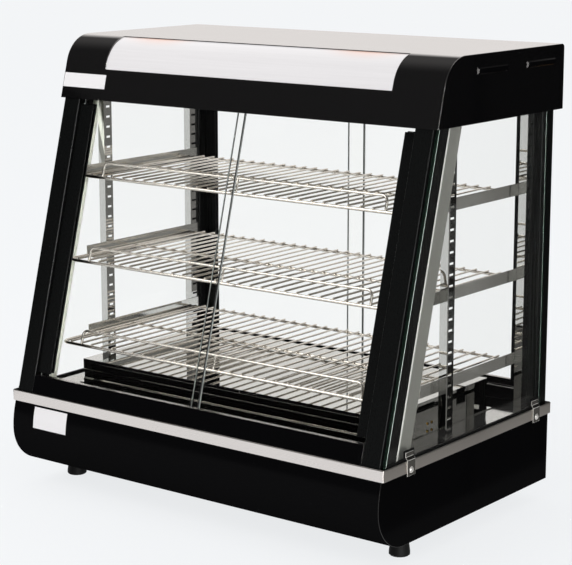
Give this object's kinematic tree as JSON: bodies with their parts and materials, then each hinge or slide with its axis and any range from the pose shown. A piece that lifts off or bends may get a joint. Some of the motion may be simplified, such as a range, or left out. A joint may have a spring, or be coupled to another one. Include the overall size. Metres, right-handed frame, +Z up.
{
  "type": "pie warmer",
  "caption": "Countertop heated display cabinet with a leaning glazed front, lift-off wire shelves, sliding doors front and rear, and a lit canopy.",
  "frame": {"origin": "on the surface it stands on, at the centre of its width and depth", "axes": "+Z up, +X to the right seen from the leaning front, -Y to the leaning front"},
  "size_m": [0.6674, 0.4346, 0.652],
  "materials": {
    "black_paint": "gloss black powder coat",
    "stainless": "satin stainless sheet",
    "mirror_steel": "mirror polished stainless",
    "chrome_wire": "bright plated wire",
    "sheath_steel": "heat-darkened steel",
    "clear_glass": "clear float glass",
    "opal_diffuser": "opal white, lit from behind",
    "black_plastic": "satin black",
    "rubber_feet": "moulded black",
    "porcelain": "glazed white",
    "warm_bulb": "frosted globe, warm light",
    "amber_lens": "translucent amber",
    "red_rocker": "translucent red"
  },
  "bodies": {
    "cabinet": {"base_shell": "black_paint", "rear_panel": "black_paint", "front_post_left": "black_paint", "front_post_right": "black_paint", "rear_post_left": "black_paint", "rear_post_right": "black_paint", "front_track_bottom": "black_paint", "front_track_top": "black_paint", "rear_track_bottom": "black_paint", "rear_track_top": "black_paint", "canopy_shell": "black_paint", "deck_tray": "stainless", "element_bracket": "stainless", "side_plate_left": "stainless", "side_plate_right": "stainless", "glass_clip_front_left": "stainless", "glass_clip_front_right": "stainless", "glass_clip_rear_left": "stainless", "glass_clip_rear_right": "stainless", "shelf_rail_lower_left": "stainless", "shelf_rail_lower_right": "stainless", "shelf_rail_middle_left": "stainless", "shelf_rail_middle_right": "stainless", "shelf_rail_upper_left": "stainless", "shelf_rail_upper_right": "stainless", "ceiling_panel": "stainless", "heater_cover": "mirror_steel", "pilaster_front_left": "mirror_steel", "pilaster_front_right": "mirror_steel", "pilaster_rear_left": "mirror_steel", "pilaster_rear_right": "mirror_steel", "heating_element": "sheath_steel", "thermostat_body": "sheath_steel", "side_glass_left": "clear_glass", "side_glass_right": "clear_glass", "window_diffuser": "opal_diffuser", "light_switch_housing": "black_plastic", "cable_gland": "black_plastic", "foot_front_left": "rubber_feet", "foot_front_right": "rubber_feet", "foot_rear_left": "rubber_feet", "foot_rear_right": "rubber_feet", "lamp_holder_left": "porcelain", "lamp_holder_right": "porcelain", "lamp_bulb_left": "warm_bulb", "lamp_bulb_right": "warm_bulb", "pilot_lamp": "amber_lens"},
    "front_door_left": {"front_door_glass_left": "clear_glass", "front_door_pull_left": "black_plastic"},
    "front_door_right": {"front_door_glass_right": "clear_glass", "front_door_pull_right": "black_plastic"},
    "rear_door_left": {"rear_door_glass_left": "clear_glass", "rear_door_pull_left": "black_plastic"},
    "rear_door_right": {"rear_door_glass_right": "clear_glass", "rear_door_pull_right": "black_plastic"},
    "shelf_lower": {"wire_shelf_lower": "chrome_wire"},
    "shelf_middle": {"wire_shelf_middle": "chrome_wire"},
    "shelf_upper": {"wire_shelf_upper": "chrome_wire"},
    "knob": {"thermostat_knob": "black_plastic"},
    "rocker": {"light_switch_rocker": "red_rocker"}
  },
  "joints": [
    {"name": "front_door_left_slide", "type": "slide", "parent": "cabinet", "child": "front_door_left", "axis": [1, 0, 0], "range_m": [0, 0.278]},
    {"name": "front_door_right_slide", "type": "slide", "parent": "cabinet", "child": "front_door_right", "axis": [-1, 0, 0], "range_m": [0, 0.278]},
    {"name": "rear_door_left_slide", "type": "slide", "parent": "cabinet", "child": "rear_door_left", "axis": [1, 0, 0], "range_m": [0, 0.278]},
    {"name": "rear_door_right_slide", "type": "slide", "parent": "cabinet", "child": "rear_door_right", "axis": [-1, 0, 0], "range_m": [0, 0.278]},
    {"name": "shelf_lower_lift", "type": "slide", "parent": "cabinet", "child": "shelf_lower", "axis": [0, 0.2588, 0.9659], "range_m": [0, 0.02]},
    {"name": "shelf_middle_lift", "type": "slide", "parent": "cabinet", "child": "shelf_middle", "axis": [0, 0.2588, 0.9659], "range_m": [0, 0.02]},
    {"name": "shelf_upper_lift", "type": "slide", "parent": "cabinet", "child": "shelf_upper", "axis": [0, 0.2588, 0.9659], "range_m": [0, 0.02]},
    {"name": "knob_turn", "type": "hinge", "parent": "cabinet", "child": "knob", "pos_m": [-0.2345, 0.19225, 0.0895], "axis": [0, -1, 0], "range_deg": [0, 270]},
    {"name": "rocker_tip", "type": "hinge", "parent": "cabinet", "child": "rocker", "pos_m": [-0.1385, 0.19225, 0.0895], "axis": [1, 0, 0], "range_deg": [-18, 0]}
  ]
}
